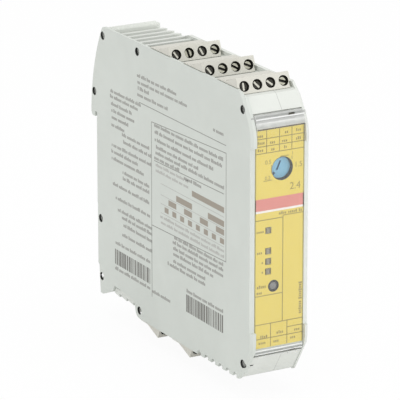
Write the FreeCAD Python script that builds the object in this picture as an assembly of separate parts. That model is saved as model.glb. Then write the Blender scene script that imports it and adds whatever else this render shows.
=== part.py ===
import FreeCAD, Part
import math
import os

# Slim safety relay module for a 35 mm mounting rail.
# Frame: origin at the middle of the rail seat, +Y towards the rail, front at -Y, +Z up, +X to the right.
# All lengths in millimetres, all angles in degrees.

# Overall envelope
width = 22.5            # across the two side plates
height = 107.4          # over the tops of the upper and lower terminal blocks
depth = 113.7           # from the rail hook to the clear cover
hook_depth = 4.13       # rail hook behind the seat
block_stand = 3.3       # how far the terminal blocks stand out beyond the side plates' edges

# Walls
wall = 1.5              # right side plate
rim_wall = 2.0          # the side cover's front rim
cover_wall = 0.9        # side cover behind its rim
rim_depth = 6.0
skin = 1.8              # walls between the side plates
skin_inset = 2.0        # the top skin lies below the side plates' edges
low_skin_inset = 0.3
slope_inset = 0.3       # the sloped front walls lie this far behind the side plates' edges
fit_gap = 0.15          # between moulded pieces that slide together
small_sides = 16        # sides of the small round pieces that repeat
screw_sides = 12
edge_bevel = 0.9        # on the outer front edges

# Mounting rail
rail_width = 35.0
rail_lip = 1.0
lip_room = 0.25
hook_bite = 1.5         # how far the hook reaches over the rail's edge
seat_step = 0.2         # the back wall above and below the rail seat lies this far in front of it
foot_start_z = -38.3    # the sprung foot's step in the back edge

# Front
label_inset = 1.35      # label face behind the clear cover's face
label_thick = 0.25
panel_thick = 1.6
cover_thick = 1.1
ear_end = 18.2          # from the plates' upper edge to the end of the cover's wide part
opening_end = 10.2      # from the plates' upper edge to the front opening
label_end = 12.2        # and to the label
pivot_end = 8.8         # and to the clear cover's pivot
cover_low_end = 9.4     # from the plates' lower edge to the clear cover's lower end
pivot_r = 0.7
pivot_depth = 1.0       # how far the pins reach into the side plates
pivot_back = 2.75       # pivot behind the clear cover's face
knuckle_r = 1.25
running_gap = 0.05

# Terminal blocks
pole_pitch = 5.0
poles = 4
row_pitch = 23.0
top_rows = 3
bottom_rows = 2
top_first_back = 11.3   # from the clear cover's face to the first upper block's top edge
bottom_first_back = 42.5
block_left_x = -10.9
face_tilt = 65.0        # screw face, measured from the horizontal
face_height = 5.0
ramp_length = 7.8
ramp_drop = 2.85
ramp_tail = 12.6        # to the end of the flat part behind the ramp
plug_length = 13.0      # the part of a block that goes down into the housing
plug_depth = 7.5
screw_hole_r = 1.85
screw_r = 1.6
screw_length = 4.6
screw_sunk = 0.9        # screw end below the screw face
screw_down = 3.0        # screw centre below the block's top edge, along the face
entry_x = 3.0
entry_y = 3.4
cage_x = 3.0
cage_y = 3.8
cage_z = 5.0
cage_wall = 0.7
cage_down = 0.8         # cage's upper end, along the face from the block's top edge
body_inset = 0.6        # a block's body is narrower than its head on each side
header_height = 7.0

# Vents
vent_pitch = 5.2
vent_thick = 1.5
vent_run = 4.6          # from a blade's tip back to its root
vent_rise = 2.6
vent_first_tip_y = -11.7
low_vent_first_tip_y = -14.7
vent_tip_inset = 2.1    # first upper tip below the side plates' edge
vent_climb = 0.25       # each further tip stands this much higher
low_vent_tip_inset = 3.0
vent_clear = 1.7        # from a blade's tip to the wall ahead of it
vent_back = 0.9         # from the first blade's root to the ledge behind it
plate_dip = 3.2         # the right plate is cut down this far at the upper vents
front_vent_pitch = 4.9
front_vent_count = 6
front_vent_first_back = 35.4
notch_reach = 1.25      # half the width of a vent's notch in the side plates
notch_depth = 1.7

# Snap pillars that hold the side cover
snap_hole_r = 1.5
snap_bore_r = 1.35
snap_bore_depth = 2.6
snap_boss = 3.6

# Controls on the front: (x, z)
knob_at = (1.2, 23.7)
knob_r = 3.75
knob_hole_r = 4.1
knob_inset = 1.5
knob_cap = 2.6
knob_turned = 35.0      # angle of the knob's slot as it stands
button_at = (-1.9, -16.8)
button_r = 1.8
button_hole_r = 2.1
button_travel = 1.0
lamp_x = -4.0
lamp_zs = [2.9, -4.3, -7.9, -11.4]
window_size = 2.0
lamp_height = 1.2
switch_height = 3.5
shaft_r = 1.5           # potentiometer shaft
shaft_reach = 2.4       # shaft's length inside the potentiometer
potentiometer_height = 3.6
potentiometer_side = 7.0
knob_stub_r = 2.2
button_inset = 0.3      # button's face behind the label's face
button_cap = 2.0
plunger_r = 1.3
switch_side = 6.0
lip_thick = 1.0         # lips behind the front panel's sides
lip_depth = 3.4
pull_x = 5.0            # finger tab of the clear cover
pull_width = 3.2

# Boards
board_thick = 1.6
board_x = 6.0           # component face of the main board
board_margin = 5.0      # from the rail seat to the main board
board_gap = 0.2         # between the board's edges and the lower blocks' ends
front_board_gap = 10.0  # label face to the front board
front_board_low_z = -30.0
front_board_room = 1.1  # from the front board to the header above it
connector_zs = (-6.0, 10.0)
relay_gap = 8.5         # from the main board's front edge to the relays
relay_length = 28.0
relay_height = 14.6
relay_thick = 5.2
relay_pitch = 6.2
relay_room = 3.6        # from the lower headers to the relays
case_gap = 0.2
power_case_depth = 3.8
power_case_gap = 4.0
sink_base = 3.0
fin_height = 13.0
fin_thick = 1.4
fin_pitch = 4.0
sink_room = 8.1         # from the upper headers to the heat sink
transformer_pitch = 12.4
transformer_height = 5.0
transformer_bore_r = 2.4
transformer_room = 2.6  # from the lower headers to the current transformers
film_case = (5.0, 12.5) # film capacitors: length and width
film_pitch = 6.5
supply_length = 13.4
supply_margin = 2.6     # from the board's back edge
supply_zs = (-6.0, 9.0)
can_r = 3.6
can_length = 13.0
can_margin = 10.0       # from the board's back edge to the capacitors' axis
can_zs = (15.0, 23.0)
chip_side = 9.0
chip_pitch = 12.0
chip_thick = 1.4

# Rail latch
latch_width = 8.0
latch_foot_width = 12.0
latch_foot_thick = 1.6
latch_neck = 2.6
latch_travel = 3.0
channel_wall = 1.4      # round the latch's way
latch_top_below_seat = 17.6
latch_bottom_z = -47.6
spring_length = 9.5

# Worked out from the sizes above
half = width / 2
inner_x = half - wall           # inner face of the right plate
rim_x = -half + rim_wall        # inner face of the side cover's rim
cover_x = -half + cover_wall    # inner face of the side cover
front_y = hook_depth - depth
peak_z = height / 2
edge_z = peak_z - block_stand   # top and bottom edges of the side plates
skin_z = edge_z - skin_inset
low_skin_z = edge_z - low_skin_inset
label_y = front_y + label_inset
panel_y = label_y + label_thick
ear_z = edge_z - ear_end
opening_z = edge_z - opening_end
label_z = edge_z - label_end
cover_low_z = cover_low_end - edge_z
pivot_y = front_y + pivot_back
pivot_z = edge_z - pivot_end
wall_end_z = pivot_z + knuckle_r + 0.35     # lower end of the wall above the clear cover
top_first_peak_y = front_y + top_first_back
bottom_first_peak_y = front_y + bottom_first_back
low_step_y = bottom_first_peak_y - 4.2      # the lower skin steps in behind this
hook_z = rail_width / 2 - hook_bite
slot_y = rail_lip + lip_room
slot_z = hook_z + hook_bite + 0.3   # top of the slot behind the rail's edge
seat_z = hook_z - 0.2               # half the height of the rail seat
block_width = pole_pitch * poles
block_mid_x = block_left_x + block_width / 2
tilt = math.radians(face_tilt)
face_out = FreeCAD.Vector(0, -math.sin(tilt), math.cos(tilt))
board_back_y = -board_margin
front_board_y = label_y + front_board_gap
board_front_y = front_board_y + board_thick + fit_gap
switch_top_y = front_board_y - switch_height
plug_end_z = peak_z - face_height - plug_depth
board_half_z = plug_end_z - board_gap
header_top_z = plug_end_z - 0.1
header_low_z = header_top_z - header_height
front_board_zs = (front_board_low_z, header_low_z - front_board_room)
relay_front_y = board_front_y + relay_gap
relay_back_y = relay_front_y + relay_length
relay_low_z = relay_room - header_low_z
transformer_z = transformer_room - header_low_z
transformer_r = transformer_pitch / 2 - 0.6
supply_back_y = board_back_y - supply_margin
supply_front_y = supply_back_y - supply_length
sink_y = (relay_back_y + case_gap + power_case_depth, supply_front_y - 1.0)
sink_z = (transformer_z + 27.5, header_low_z - sink_room)


def vec(x, y, z):
    return FreeCAD.Vector(x, y, z)


def box(x0, x1, y0, y1, z0, z1):
    low = min(z0, z1)
    return Part.makeBox(x1 - x0, y1 - y0, abs(z1 - z0), vec(x0, y0, low))


def rod(start, direction, radius, length):
    return Part.makeCylinder(radius, length, start, direction)


def small_rod(start, direction, radius, length, sides=small_sides):
    """Round bar for the many small repeated pieces, with as few sides as its size needs."""
    axis = vec(direction.x, direction.y, direction.z).normalize()
    across = axis.cross(vec(1, 0, 0)) if abs(axis.x) < 0.5 else axis.cross(vec(0, 0, 1))
    across = across.normalize()
    up = axis.cross(across)
    turns = [2 * math.pi * i / sides for i in range(sides)]
    outline = [start + across * (radius * math.cos(a)) + up * (radius * math.sin(a)) for a in turns]
    return Part.Face(Part.makePolygon(outline + outline[:1])).extrude(axis * length)


def slab(points, x0, x1):
    """Side profile of (y, z) points, drawn at x0 and extruded to x1."""
    outline = [vec(x0, y, z) for y, z in points]
    face = Part.Face(Part.makePolygon(outline + outline[:1]))
    return face.extrude(vec(x1 - x0, 0, 0))


def turned_over(shape):
    """The same moulding turned round to sit on the lower side of the housing."""
    lower = shape.copy()
    lower.rotate(vec(block_mid_x, 0, 0), vec(0, 1, 0), 180)
    return lower


def on_side(shape, side):
    """side is 1 for the top of the housing and -1 for the bottom."""
    return shape if side > 0 else turned_over(shape)


def arc_points(start, middle, end, steps):
    """Points on the arc through three (y, z) points, end points included."""
    a, b, c = [vec(0, y, z) for y, z in (start, middle, end)]
    curve = Part.Arc(a, b, c).toShape()
    return [(p.y, p.z) for p in curve.discretize(steps + 1)]


def join(shapes):
    return shapes[0].fuse(shapes[1:]).removeSplitter()


# Side outline ---------------------------------------------------------------

def back_curve():
    """Back edge above the rail, bulging out from the top corner to the hook."""
    nose = (hook_depth, hook_z + 1.4)
    corner = (-4.0, edge_z - 1.5)
    return arc_points(nose, (1.75, edge_z - 16.0), corner, 10)


def front_top_points():
    return [(front_y + 9.6, edge_z), (front_y + 7.2, edge_z - 0.6), (front_y + 5.7, edge_z - 2.2),
            (front_y + 1.6, edge_z - 9.4), (front_y + 0.4, edge_z - 12.6), (front_y, edge_z - 15.6)]


def low_right_front_top():
    """The right plate's upper front corner is rounder than the side cover's."""
    return [(front_y + 9.9, edge_z - 0.2), (front_y + 7.8, edge_z - 2.0), (front_y + 6.2, edge_z - 3.4),
            (front_y + 2.2, edge_z - 9.4), (front_y + 0.8, edge_z - 12.6), (front_y + 0.2, edge_z - 15.6)]


def front_bottom_points():
    return [(front_y, -edge_z + 14.0), (front_y + 0.5, -edge_z + 11.2), (front_y + 7.2, -edge_z + 0.6),
            (front_y + 8.2, -edge_z)]


def seat_points():
    """Back edge from the foot over the rail seat into the rail slot and to the hook's nose, going up."""
    return [(-seat_step, foot_start_z), (-seat_step, -seat_z), (0, -seat_z), (0, seat_z), (-seat_step, seat_z),
            (-seat_step, slot_z), (slot_y, slot_z), (slot_y, hook_z), (hook_depth - 0.8, hook_z)]


def foot_points():
    return [(-3.7, -edge_z + 1.1), (-1.8, -edge_z + 1.1), (-1.0, foot_start_z - 0.6)]


def top_corner():
    return [(-4.9, edge_z - 0.4), (-6.3, edge_z)]


def vent_tips(first_tip, room_end):
    """The blades' tips from the back to the last terminal block."""
    count = int((first_tip - vent_clear - 1.5 - room_end) / vent_pitch) + 1
    return [first_tip - i * vent_pitch for i in range(count)]


def block_tail(first_peak, rows):
    return first_peak + (rows - 1) * row_pitch + ramp_tail


def top_tips():
    return vent_tips(vent_first_tip_y, block_tail(top_first_peak_y, top_rows))


def low_tips():
    return vent_tips(low_vent_first_tip_y, block_tail(bottom_first_peak_y, bottom_rows))


def vent_cut_points():
    """Lower edge of a side plate from behind the terminal rows to the foot, cut up at the vents."""
    end = low_tips()[-1]
    lobe = arc_points((end - 6.0, -edge_z), (end - 3.8, -edge_z + 0.9), (end - 2.9, -edge_z + 3.1), 4)
    start = low_vent_first_tip_y
    return lobe + [(end - 1.9, -edge_z + 5.8), (start + 2.3, -edge_z + 6.6), (start + 3.7, -edge_z + 4.1)]


def outline_bottom():
    return vent_cut_points() + foot_points()


def cover_outline():
    return (outline_bottom() + seat_points() + back_curve() + top_corner()
            + front_top_points() + front_bottom_points())


def tub_outline():
    """As the cover's outline, with the upper edge cut down at the vents."""
    ledge = vent_first_tip_y + vent_run + vent_back
    end = top_tips()[-1]
    upper_cut = [(ledge + 0.2, edge_z - 1.5), (ledge, edge_z - plate_dip - 0.2), (end + 10.0, edge_z - plate_dip),
                 (end + 7.7, edge_z - 1.9), (end + 3.4, edge_z - 0.5)]
    return (outline_bottom() + seat_points() + back_curve() + upper_cut
            + low_right_front_top() + front_bottom_points())


def snap_places():
    """(y, z) of the pillars that the side cover snaps on to."""
    top_end = top_tips()[-1]
    low_end = low_tips()[-1]
    return [(-4.9, edge_z - 3.5), (top_end + 2.1, edge_z - 3.4), (1.75, edge_z - 25.3),
            (front_y + 6.2, edge_z - 6.0), (-2.4, -21.1), (-2.8, -edge_z + 7.5),
            (low_end - 6.0, -edge_z + 3.0), (front_y + 5.6, -edge_z + 6.2)]


def ear_recess(x0, x1):
    """Room for the clear cover in a side plate's front edge."""
    return box(x0 - 1, x1 + 1, front_y - 1, label_y, -ear_z, ear_z)


def bevelled(plate, outer_x):
    """Bevels the outer edge of a side plate along its whole front."""
    edges = []
    for edge in plate.Edges:
        middle = edge.CenterOfMass
        if abs(middle.x - outer_x) < 1e-6 and middle.y < front_y + 8.0 and edge.Length > 2.0:
            edges.append(edge)
    return plate.makeChamfer(edge_bevel, edges)


def front_vent_ys():
    first = front_y + front_vent_first_back
    return [first - i * front_vent_pitch for i in range(front_vent_count)]


def edge_notches(x0, x1):
    """Half-round vents in the lower edge of a side plate, ahead of the lower terminals."""
    cuts = []
    for y in front_vent_ys():
        low = -edge_z - 0.1
        arch = arc_points((y - notch_reach, low), (y, low + notch_depth), (y + notch_reach, low), 6)
        cuts.append(slab(arch, x0 - 1, x1 + 1))
    return cuts


def pivot_hole(x0, x1):
    return rod(vec(x0, pivot_y, pivot_z), vec(1, 0, 0), pivot_r + running_gap, x1 - x0)


# Housing --------------------------------------------------------------------

def inner_profile():
    """Inside of the housing between the side plates."""
    top = skin_z - skin
    low = -skin_z + skin
    front_low = -low_skin_z + skin
    low_end = low_tips()[-1]
    return [(-skin, foot_start_z - 0.7), (-skin, edge_z - 20.4), (-7.5, top), (front_y + 9.4, top), (front_y + 8.2, top - 1.6),
            (front_y + 5.6, wall_end_z - 0.6), (front_y + 5.6, cover_low_z), (front_y + 9.6, front_low),
            (low_step_y - 1.5, front_low), (low_step_y - 1.5, low), (low_end - 2.4, low), (low_end - 2.4, -edge_z + 5.6), (low_vent_first_tip_y + 5.2, -edge_z + 5.6)]


def sloped_front():
    """Front of the walls above and below the front opening, going down."""
    g = slope_inset
    behind = pivot_y + knuckle_r + 0.4
    return [(front_y + 7.2 + 1.6, skin_z), (front_y + 6.9 + g, edge_z - 2.3), (front_y + 5.6 + g, edge_z - 3.9),
            (front_y + 2.85 + g, wall_end_z), (behind, wall_end_z), (behind, cover_low_z - 0.4),
            (front_y + 1.9 + g, cover_low_z - 0.4), (front_y + 7.2 + g, -low_skin_z + 0.6),
            (front_y + 8.2 + g, -low_skin_z)]


def outer_profile():
    """Outside of the walls between the side plates, a little inside the plates' own edges."""
    curve = [(y - 0.3, z) for y, z in back_curve()]
    end = low_tips()[-1]
    step = [(low_step_y, -low_skin_z), (low_step_y, -skin_z), (end - 1.9, -skin_z)]
    foot = [(end - 1.9, -edge_z + 4.0), (low_vent_first_tip_y + 4.0, -edge_z + 4.2), (-3.9, -edge_z + 1.4),
            (-2.1, -edge_z + 1.4), (-1.3, foot_start_z - 0.6)]
    ledge = [(-5.4, edge_z - 0.55), (-6.6, edge_z - 0.55), (-7.6, skin_z)]
    return step + foot + seat_points() + curve + ledge + sloped_front()


def front_opening():
    """The front panel and the clear cover close this opening."""
    return box(rim_x, inner_x, front_y - 1, front_y + 6.5, cover_low_z, opening_z)


def block_peaks():
    """(y of the block's top edge, +1 for the top of the housing or -1 for the bottom)"""
    top = [(top_first_peak_y + i * row_pitch, 1) for i in range(top_rows)]
    bottom = [(bottom_first_peak_y + i * row_pitch, -1) for i in range(bottom_rows)]
    return top + bottom


def plug_span(peak):
    return peak - 1.9, peak - 1.9 + plug_length


def plug_pocket(peak, side):
    y0, y1 = plug_span(peak)
    reach = block_width / 2 - body_inset + fit_gap
    return box(block_mid_x - reach, block_mid_x + reach, y0 - fit_gap, y1 + fit_gap,
               side * (skin_z - skin - 1), side * (edge_z + 1))


def louvre(tip_y, tip_z, side, x1):
    """Slanted vent blade, with its tip to the front; side is 1 on the top and -1 on the bottom."""
    root_y = tip_y + vent_run
    points = [(tip_y, tip_z), (tip_y, tip_z - vent_thick), (root_y, tip_z - vent_thick - vent_rise),
              (root_y, tip_z - vent_rise), (root_y - 1.0, tip_z - 0.6)]
    return slab([(y, side * z) for y, z in points], cover_x, x1)


def top_vent_window():
    """Opening for the upper blades, with the stepped front of the ledge behind them."""
    ledge = vent_first_tip_y + vent_run + vent_back
    end = top_tips()[-1] - vent_clear
    low = skin_z - skin - 1
    points = [(ledge + 0.8, edge_z), (ledge, edge_z - 1.5), (ledge, edge_z - 2.4), (ledge - 0.3, edge_z - 2.4),
              (ledge - 0.3, low), (end, low), (end, edge_z)]
    return slab(points, cover_x - 1, inner_x)


def top_louvres():
    """The blades run over the right plate where that is cut down, and else end in it."""
    blades = []
    tips = top_tips()
    for i, tip_y in enumerate(tips):
        open_side = tip_y > tips[-1] + 10.0
        x1 = half - 0.2 if open_side else inner_x + 0.5
        blades.append(louvre(tip_y, edge_z - vent_tip_inset + i * vent_climb, 1, x1))
    return blades


def low_louvres():
    return [louvre(tip_y, edge_z - low_vent_tip_inset, -1, inner_x + 0.5) for tip_y in low_tips()]


def front_vent_slots():
    cuts = []
    for y in front_vent_ys():
        cuts.append(box(rim_x + 1.2, inner_x - 1.2, y - notch_reach, y + notch_reach, -edge_z - 1,
                        -low_skin_z + skin + 1))
    return cuts


def latch_channel():
    """T-shaped way for the rail latch in the back wall, open at the back and at the bottom."""
    g = fit_gap
    low = -edge_z - 1
    high = -latch_top_below_seat + 0.2
    neck = box(-latch_width / 2 - g, latch_width / 2 + g, -latch_neck - g, 4, low, high)
    foot = box(-latch_foot_width / 2 - g, latch_foot_width / 2 + g, -latch_neck - latch_foot_thick - g,
               -latch_neck + g, low, high + spring_length)
    return [neck, foot]


def channel_walls():
    """Walls round the latch's way, inside the back wall."""
    g = fit_gap
    reach = latch_neck + latch_foot_thick + g + channel_wall
    half_w = latch_foot_width / 2 + g + channel_wall
    return box(-half_w, half_w, -reach, -0.5, -edge_z + 2.8,
               -latch_top_below_seat + spring_length + 0.2 + channel_wall)


def snap_bosses(envelope):
    """Square pillars behind the cover's snap holes, trimmed to the housing's outside."""
    r = snap_boss / 2
    pillars = [box(cover_x, inner_x, y - r, y + r, z - r, z + r) for y, z in snap_places()]
    return Part.makeCompound(pillars).common(envelope).Solids


def snap_holes(radius, depth):
    start = -half - 1
    return [small_rod(vec(start, y, z), vec(1, 0, 0), radius, depth + 1) for y, z in snap_places()]


def board_stands():
    """Stands between the main board and the right side plate."""
    places = [board_back_y - 15.0, (board_back_y + board_front_y) / 2 - 9.0, board_front_y + 11.5]
    return [box(board_x + board_thick, inner_x, y - 2, y + 2, -12, 12) for y in places]


def housing_tub():
    plate = bevelled(slab(tub_outline(), inner_x, half), half)
    plate = plate.cut([ear_recess(inner_x, half)] + edge_notches(inner_x, half))
    walls = slab(outer_profile(), cover_x, inner_x)
    hollow = slab(inner_profile(), cover_x - 1, inner_x)
    rim_room = box(cover_x - 1, rim_x, front_y - 1, front_y + rim_depth, -edge_z - 1, edge_z + 1)
    envelope = walls.cut(rim_room)
    cuts = [hollow, front_opening(), top_vent_window()]
    cuts += [plug_pocket(peak, side) for peak, side in block_peaks()]
    cuts += front_vent_slots()
    walls = envelope.cut(cuts)
    tub = join([plate, walls, channel_walls()] + top_louvres() + low_louvres() + snap_bosses(envelope)
               + board_stands())
    bores = snap_holes(snap_bore_r, cover_wall + snap_bore_depth)
    return tub.cut(latch_channel() + [pivot_hole(inner_x, inner_x + pivot_depth)] + bores)


def side_cover():
    plate = slab(cover_outline(), -half, cover_x)
    rim = slab(cover_outline(), cover_x, rim_x)
    rim = rim.common(box(cover_x, rim_x, front_y, front_y + rim_depth, -edge_z, edge_z))
    plate = bevelled(join([plate, rim]), -half)
    cuts = [ear_recess(-half, rim_x)] + edge_notches(-half, cover_x) + snap_holes(snap_hole_r, rim_wall + 2)
    cuts.append(pivot_hole(rim_x - pivot_depth, rim_x))
    return plate.cut(cuts)


# Front ----------------------------------------------------------------------

def through_front(x, z, radius, y0, y1):
    return rod(vec(x, y0, z), vec(0, 1, 0), radius, y1 - y0)


def lamp_hole(z, grow, y0, y1):
    r = window_size / 2 + grow
    return box(lamp_x - r, lamp_x + r, y0, y1, z - r, z + r)


def control_holes(y0, y1):
    cuts = [through_front(knob_at[0], knob_at[1], knob_hole_r, y0, y1),
            through_front(button_at[0], button_at[1], button_hole_r, y0, y1)]
    return cuts + [lamp_hole(z, fit_gap, y0, y1) for z in lamp_zs]


def front_panel():
    """Panel behind the label, with a collar round the knob and two side lips."""
    x0 = rim_x + fit_gap
    x1 = inner_x - fit_gap
    low = cover_low_z + 0.4
    high = opening_z - 0.4
    body = box(x0, x1, panel_y, panel_y + panel_thick, low, high)
    collar = through_front(knob_at[0], knob_at[1], knob_hole_r + 1.0, panel_y, panel_y + 2 * panel_thick)
    lips = [box(x0, x0 + lip_thick, panel_y, panel_y + lip_depth, low, high),
            box(x1 - lip_thick, x1, panel_y, panel_y + lip_depth, low, high)]
    panel = join([body, collar] + lips)
    return panel.cut(control_holes(panel_y - 1, panel_y + 6))


def front_label():
    sheet = box(rim_x + fit_gap, inner_x - fit_gap, label_y, panel_y, -label_z, label_z)
    return sheet.cut(control_holes(label_y - 1, panel_y + 1))


def clear_cover():
    """Hinged clear cover: wide between the ears, narrow where it passes between them."""
    back = front_y + cover_thick
    x0 = rim_x + fit_gap
    x1 = inner_x - fit_gap
    low = cover_low_z
    middle = box(-half + 0.1, half - 0.1, front_y, back, -ear_z + fit_gap, ear_z - fit_gap)
    ends = [e for e in middle.Edges if abs(abs(e.CenterOfMass.x) - half + 0.1) < 1e-6
            and abs(e.CenterOfMass.y - front_y) < 1e-6]
    middle = middle.makeChamfer(0.6, ends)
    slope = pivot_z - 2.2
    tongue = slab([(front_y, low + 0.5), (front_y + 0.5, low), (back, low), (back, slope), (pivot_y, pivot_z),
                   (pivot_y - knuckle_r, pivot_z), (front_y, slope)], x0, x1)
    knuckle = rod(vec(x0, pivot_y, pivot_z), vec(1, 0, 0), knuckle_r, x1 - x0)
    reach = pivot_depth - 0.1
    pins = rod(vec(rim_x - reach, pivot_y, pivot_z), vec(1, 0, 0), pivot_r, inner_x - rim_x + 2 * reach)
    pull = box(pull_x - pull_width / 2, pull_x + pull_width / 2, front_y + 0.35, back, low - 0.4, low + 0.1)
    return join([middle, tongue, knuckle, pull, pins])


def setting_knob():
    """Knob with a screwdriver slot and a pointer notch, on a stub that grips the potentiometer's shaft."""
    x, z = knob_at
    face = label_y + knob_inset
    cap = through_front(x, z, knob_r, face, face + knob_cap)
    cap = cap.makeChamfer(0.3, front_rim(cap, face))
    stub = through_front(x, z, knob_stub_r, face + knob_cap, front_board_y - potentiometer_height - 0.3)
    slot = box(x - 0.55, x + 0.55, face - 1, face + 1.2, z - 2.8, z + 2.8)
    notch = box(x - 0.3, x + 0.3, face - 1, face + 0.5, z + 2.7, z + knob_r + 1)
    bore = through_front(x, z, shaft_r + running_gap, face + knob_cap + 0.4, front_board_y)
    knob = cap.fuse(stub).cut([slot, notch, bore])
    knob.rotate(vec(x, 0, z), vec(0, 1, 0), knob_turned)
    return knob


def front_rim(shape, face):
    return [e for e in shape.Edges if abs(e.CenterOfMass.y - face) < 1e-6]


def potentiometer():
    """Case of the setting potentiometer, with the bearing for its shaft."""
    x, z = knob_at
    front = front_board_y - potentiometer_height
    r = potentiometer_side / 2
    case = box(x - r, x + r, front, front_board_y, z - r, z + r)
    return case.cut(through_front(x, z, shaft_r + running_gap, front - 1, front + shaft_reach + 0.1))


def potentiometer_shaft():
    x, z = knob_at
    front = front_board_y - potentiometer_height
    return through_front(x, z, shaft_r, label_y + knob_inset + knob_cap + 0.5, front + shaft_reach)


def reset_button():
    """Round cap on a guide shaft that stands on the switch's plunger."""
    x, z = button_at
    face = label_y + button_inset
    cap = through_front(x, z, button_r, face, face + button_cap)
    cap = cap.makeChamfer(0.25, front_rim(cap, face))
    length = switch_top_y - 0.1 - face - button_cap
    shaft = small_rod(vec(x, face + button_cap, z), vec(0, 1, 0), plunger_r, length)
    return cap.fuse(shaft)


def reset_switch():
    """Tactile switch with a well for its plunger's travel."""
    x, z = button_at
    r = switch_side / 2
    case = box(x - r, x + r, switch_top_y, front_board_y, z - r, z + r)
    well = small_rod(vec(x, switch_top_y - 1, z), vec(0, 1, 0), plunger_r + 0.3, button_travel + 1.3)
    return case.cut(well)


def light_pipes():
    pipes = []
    for z in lamp_zs:
        head = lamp_hole(z, 0, label_y, panel_y + panel_thick)
        foot = lamp_hole(z, 0.3, panel_y + panel_thick, front_board_y - lamp_height - 0.2)
        pipes.append(head.fuse(foot).removeSplitter())
    return Part.makeCompound(pipes)


def lamps():
    """Small surface-mounted lamps behind the light pipes."""
    front = front_board_y - lamp_height
    bodies = [box(lamp_x - 1.0, lamp_x + 1.0, front, front_board_y, z - 0.8, z + 0.8) for z in lamp_zs]
    return Part.makeCompound(bodies)


# Terminal blocks ------------------------------------------------------------

def pole_xs():
    return [block_left_x + pole_pitch * (i + 0.5) for i in range(poles)]


def face_point(peak, down):
    """Point on the screw face, measured down from the block's top edge."""
    return vec(0, peak - down * math.cos(tilt), peak_z - down * math.sin(tilt))


def screw_axis_point(peak, x):
    p = face_point(peak, screw_down)
    return vec(x, p.y, p.z)


def tilted(x0, x1, deep0, deep1, down0, down1, peak):
    """Box square to the screw face: deep is measured behind the face, down along it from the top edge."""
    block = box(x0, x1, deep0, deep1, -down0, -down1)
    block.rotate(vec(0, 0, 0), vec(1, 0, 0), face_tilt - 90)
    block.translate(vec(0, peak, peak_z))
    return block


def cage_span():
    """How deep behind the screw face the clamp cages start and end."""
    start = screw_sunk + screw_length
    return start, start + cage_y


def terminal_block(peak):
    """Plug-in block: sawtooth head with the screw face in front and the wire entries on the ramp."""
    head_low = edge_z + 0.2
    left = block_left_x
    right = block_left_x + block_width
    low_face = face_point(peak, face_height / math.sin(tilt))
    mid_face = face_point(peak, (peak_z - head_low) / math.sin(tilt))
    y0, y1 = plug_span(peak)
    ramp_z = peak_z - ramp_drop
    head = slab([(peak, peak_z), (mid_face.y, head_low), (peak + ramp_tail, head_low), (peak + ramp_tail, ramp_z),
                 (peak + ramp_length, ramp_z)], left, right)
    body = slab([(mid_face.y, head_low), (low_face.y, low_face.z), (low_face.y, skin_z + 0.2), (y0, skin_z + 0.2),
                 (y0, plug_end_z), (y1, plug_end_z), (y1, head_low)], left + body_inset, right - body_inset)
    block = join([head, body])
    deep0, deep1 = cage_span()
    room = cage_x / 2 + 0.1
    mid = (deep0 + deep1) / 2
    cuts = []
    for x in pole_xs():
        start = screw_axis_point(peak, x)
        cuts.append(small_rod(start + face_out, face_out.negative(), screw_hole_r, deep0 + 0.9))
        cuts.append(tilted(x - room, x + room, deep0 - 0.1, deep1 + 0.1, cage_down - 0.1, cage_down + cage_z + 0.1,
                           peak))
        cuts.append(tilted(x - entry_x / 2, x + entry_x / 2, mid - entry_y / 2, mid + entry_y / 2, -4.0,
                           cage_down, peak))
    return block.cut(cuts)


def terminal_screw(peak, x):
    """Slotted captive screw; its slot is turned differently from pole to pole."""
    start = screw_axis_point(peak, x) - face_out * screw_sunk
    screw = small_rod(start, face_out.negative(), screw_r, screw_length, screw_sides)
    slot = box(-0.35, 0.35, -screw_r - 1, screw_r + 1, -0.8, 1)
    slot.rotate(vec(0, 0, 0), vec(0, 0, 1), (x * 37 + peak * 11) % 180)
    slot.rotate(vec(0, 0, 0), vec(1, 0, 0), face_tilt)
    slot.translate(start)
    return screw.cut(slot)


def clamp_cage(peak, x):
    """Box clamp: the screw's end bears on its front wall, the wire goes down its throat."""
    deep0, deep1 = cage_span()
    half_x = cage_x / 2
    w = cage_wall
    cage = tilted(x - half_x, x + half_x, deep0, deep1, cage_down, cage_down + cage_z, peak)
    throat = tilted(x - half_x + w, x + half_x - w, deep0 + w, deep1 - w, cage_down - 1, cage_down + cage_z - w, peak)
    return cage.cut(throat)


def for_each_pole(make):
    solids = []
    for peak, side in block_peaks():
        solids += [on_side(make(peak, x), side) for x in pole_xs()]
    return Part.makeCompound(solids)


def plug_header(peak, side):
    """Socket on the main board that a terminal block plugs on to."""
    y0, y1 = plug_span(peak)
    low = header_low_z
    body = box(rim_x + 1.0, board_x, y0 + 0.6, y1 - 0.6, side * low, side * header_top_z)
    cuts = []
    for x in pole_xs()[:3]:
        cuts.append(box(x - 1.2, x + 1.2, y0 + 3.0, y1 - 3.0, side * (header_top_z - 5.0), side * (header_top_z + 1)))
    return body.cut(cuts)


# Inside ---------------------------------------------------------------------

def main_board():
    board = box(board_x, board_x + board_thick, board_front_y, board_back_y, -board_half_z, board_half_z)
    corner = box(board_x - 1, board_x + 3, board_back_y - 6, board_back_y + 1, edge_z - 20.4, board_half_z + 1)
    return board.cut([corner, latch_room()])


def latch_room():
    """Corner of the main board that is cut away for the latch's channel."""
    return box(board_x - 1, board_x + 3, board_back_y - 3.0, board_back_y + 1, -board_half_z - 1,
               -latch_top_below_seat + spring_length + 3.0)


def front_board():
    low, high = front_board_zs
    return box(rim_x + 1.2, inner_x - 1.2, front_board_y, front_board_y + board_thick, low, high)


def on_board(height_x, y0, y1, z0, z1):
    """Block that stands on the main board's component face."""
    return box(board_x - height_x, board_x, y0, y1, z0, z1)


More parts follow.
